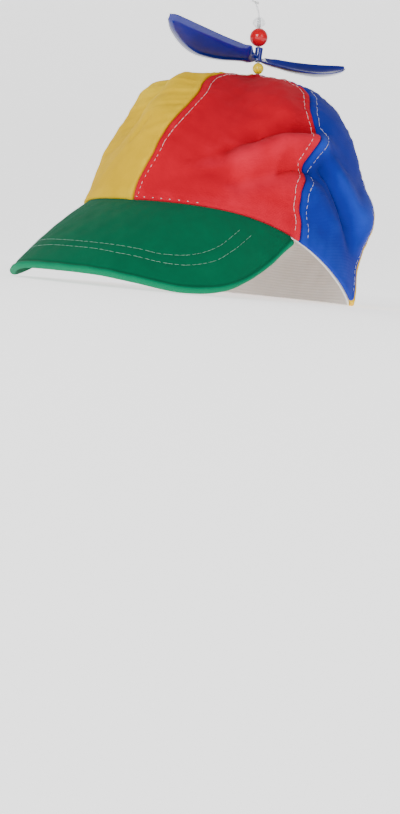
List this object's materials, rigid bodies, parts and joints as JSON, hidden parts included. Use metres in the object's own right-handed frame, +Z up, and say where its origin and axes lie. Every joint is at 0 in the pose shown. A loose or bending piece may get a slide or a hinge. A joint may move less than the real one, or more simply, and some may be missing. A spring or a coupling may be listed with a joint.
{
  "type": "propeller beanie",
  "caption": "Soft cloth cap of shaped panels with a curved stiff peak, an inner tape and a toy propeller that spins freely on a thread between beads.",
  "frame": {"origin": "middle of the foot of the bounding box, on the surface that the cap rests on", "axes": "+X to the wearer's left, -Y to the wearer's front, where the peak points, +Z up"},
  "size_m": [0.163, 0.2418, 0.1781],
  "materials": {
    "cloth_red": "cotton twill",
    "cloth_blue": "cotton twill",
    "cloth_yellow": "cotton twill",
    "cloth_green": "cotton twill over a stiffener",
    "tape_white": "woven cotton tape",
    "nylon_clear": "clear nylon",
    "bead_yellow": "translucent, glossy",
    "bead_red": "opaque, glossy",
    "bead_clear": "clear, glossy",
    "blade_blue": "moulded, glossy"
  },
  "bodies": {
    "cap": {"panel_front_left": "cloth_red", "panel_left": "cloth_blue", "panel_back_left": "cloth_yellow", "panel_back_right": "cloth_red", "panel_right": "cloth_blue", "panel_front_right": "cloth_yellow", "peak": "cloth_green", "sweatband": "tape_white", "thread": "nylon_clear", "bead_yellow": "bead_yellow", "bead_red": "bead_red", "bead_clear": "bead_clear"},
    "propeller": {"propeller": "blade_blue"}
  },
  "joints": [
    {"name": "propeller_spin", "type": "hinge", "parent": "cap", "child": "propeller", "pos_m": [-0.00241, 0.04529, 0.14606], "axis": [-0.0635, -0.0461, 0.9969], "continuous": true}
  ]
}
